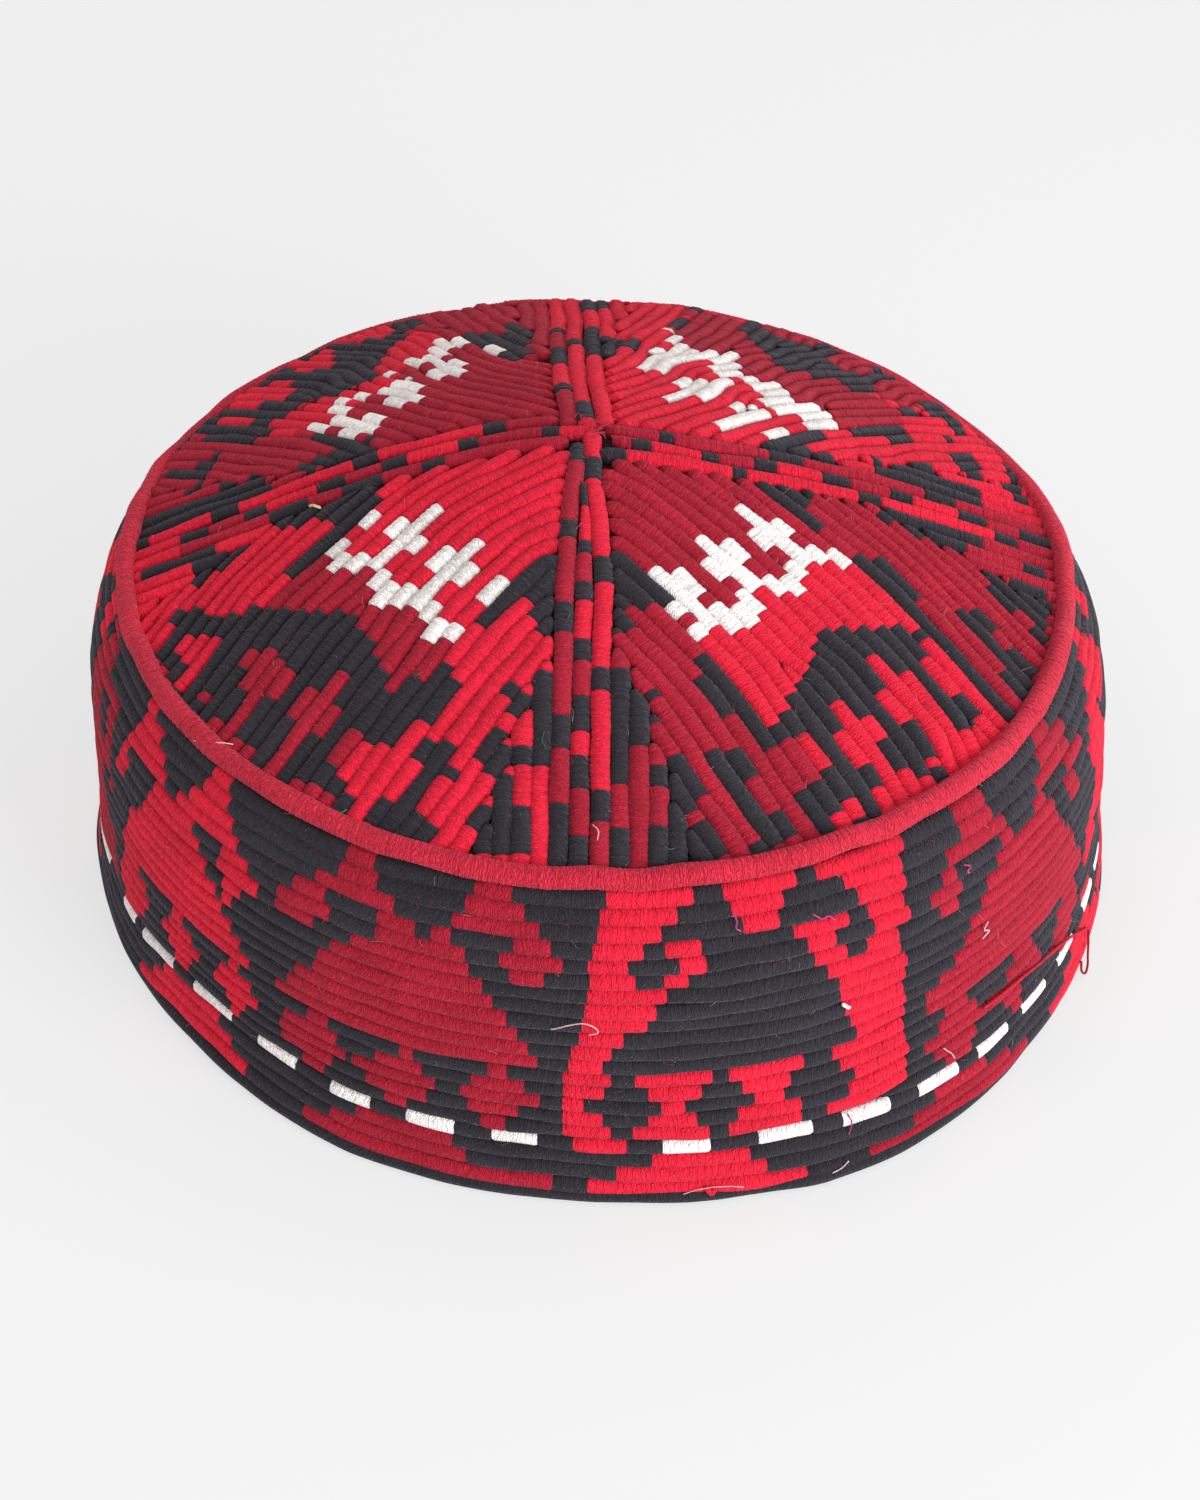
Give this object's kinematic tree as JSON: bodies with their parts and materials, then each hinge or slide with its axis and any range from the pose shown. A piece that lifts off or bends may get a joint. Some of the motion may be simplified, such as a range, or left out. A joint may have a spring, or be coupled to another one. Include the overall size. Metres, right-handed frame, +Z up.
{
  "type": "embroidered cap",
  "caption": "Round pillbox cap of wound wool cords: a patterned side band, a domed crown in quarters between chequered ribs, a cord round the crown's edge and a bound rim",
  "frame": {"origin": "on the surface that the rim rests on, at the middle of the rim", "axes": "+Z up through the middle of the crown, the front of the cap faces -Y, +X to the right seen from the front"},
  "size_m": [0.1878, 0.1926, 0.0856],
  "materials": {
    "bright_red_wool": "matt wound wool yarn, scarlet with black and off-white figures",
    "dark_red_wool": "matt wound wool yarn, crimson with black and off-white figures",
    "chequered_wool": "matt wound wool yarn in black, scarlet and crimson lengths",
    "edge_cord_wool": "matt wound wool yarn, dull red",
    "band_wool": "matt wound wool yarn, scarlet and crimson figures on black with off-white dashes",
    "black_wool": "matt wound wool yarn, soft black"
  },
  "bodies": {
    "root": {"crown_gore_back_right": "bright_red_wool", "crown_gore_back_left": "dark_red_wool", "crown_gore_front_left": "bright_red_wool", "crown_gore_front_right": "dark_red_wool", "crown_rib_right": "chequered_wool", "crown_rib_back": "chequered_wool", "crown_rib_left": "chequered_wool", "crown_rib_front": "chequered_wool", "crown_piping": "edge_cord_wool", "side_band": "band_wool", "rim_binding": "black_wool"}
  },
  "joints": []
}
